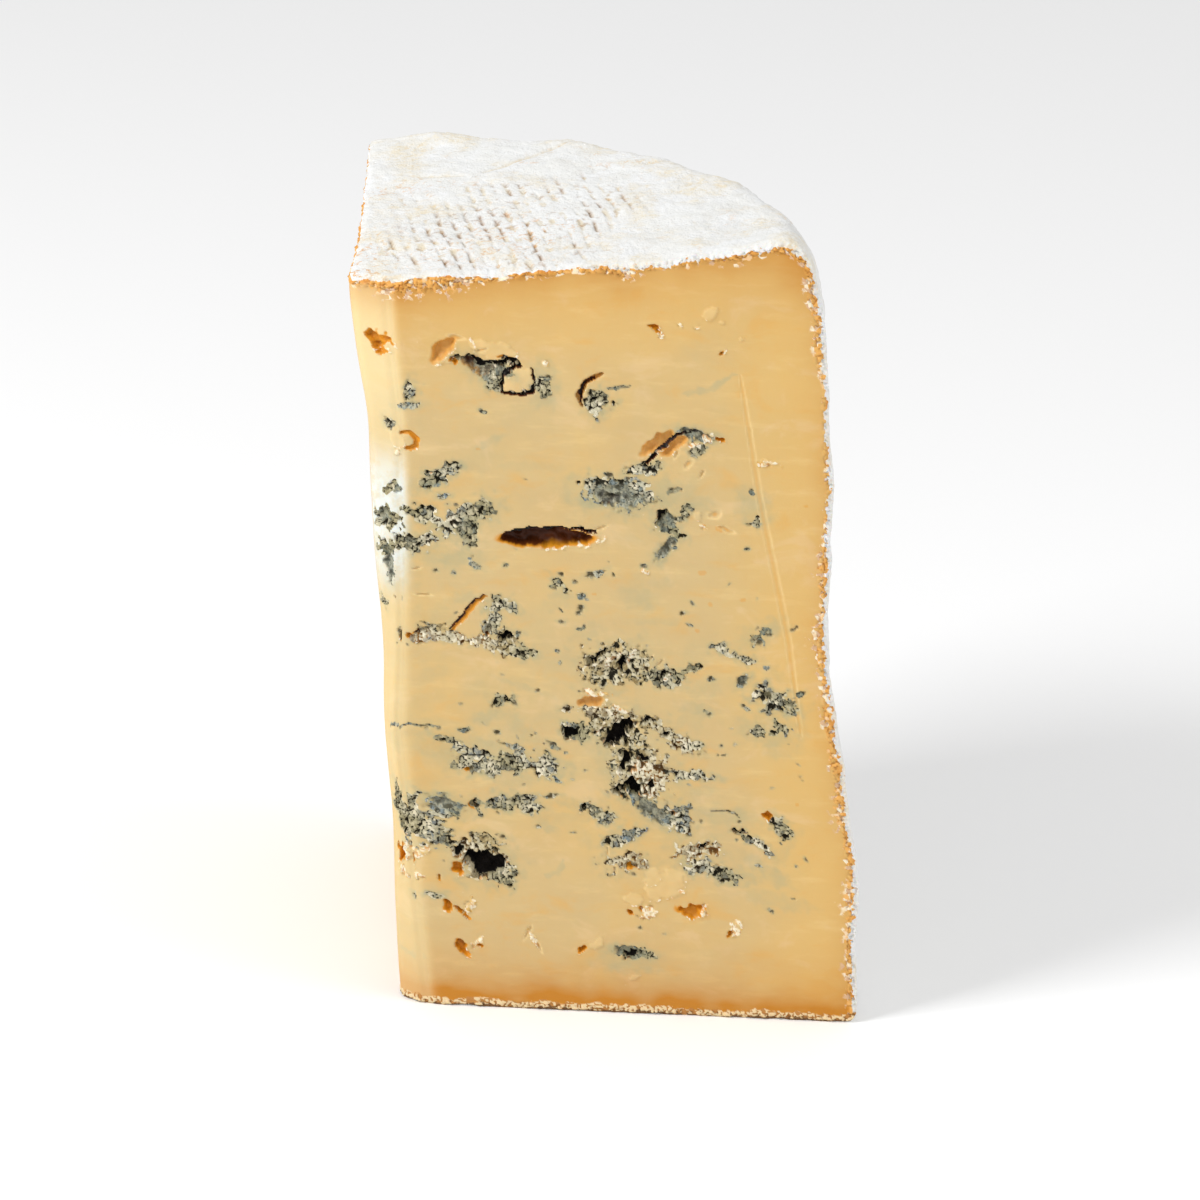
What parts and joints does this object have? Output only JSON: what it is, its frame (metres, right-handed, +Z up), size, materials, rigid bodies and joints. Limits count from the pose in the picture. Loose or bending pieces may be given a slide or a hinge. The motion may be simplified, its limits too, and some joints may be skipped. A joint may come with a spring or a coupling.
{
  "type": "cheese wedge",
  "caption": "Quarter wheel of tall blue-veined cheese with a white bloomy rind, standing on its flat base and showing a broad cut face.",
  "frame": {"origin": "middle of the bounding box, on the flat base that the wedge stands on", "axes": "+Z up from the base to the top rind, -Y the broad cut face, -X the tip of the wedge, +X and +Y the round side of the wheel"},
  "size_m": [0.1008, 0.0884, 0.1537],
  "materials": {
    "cheese": "smooth moist butter-yellow paste with blue-grey mould in torn hollows and veins, orange-tan under a dry powdery white rind"
  },
  "bodies": {
    "root": {"cheese_wedge": "cheese"}
  },
  "joints": []
}
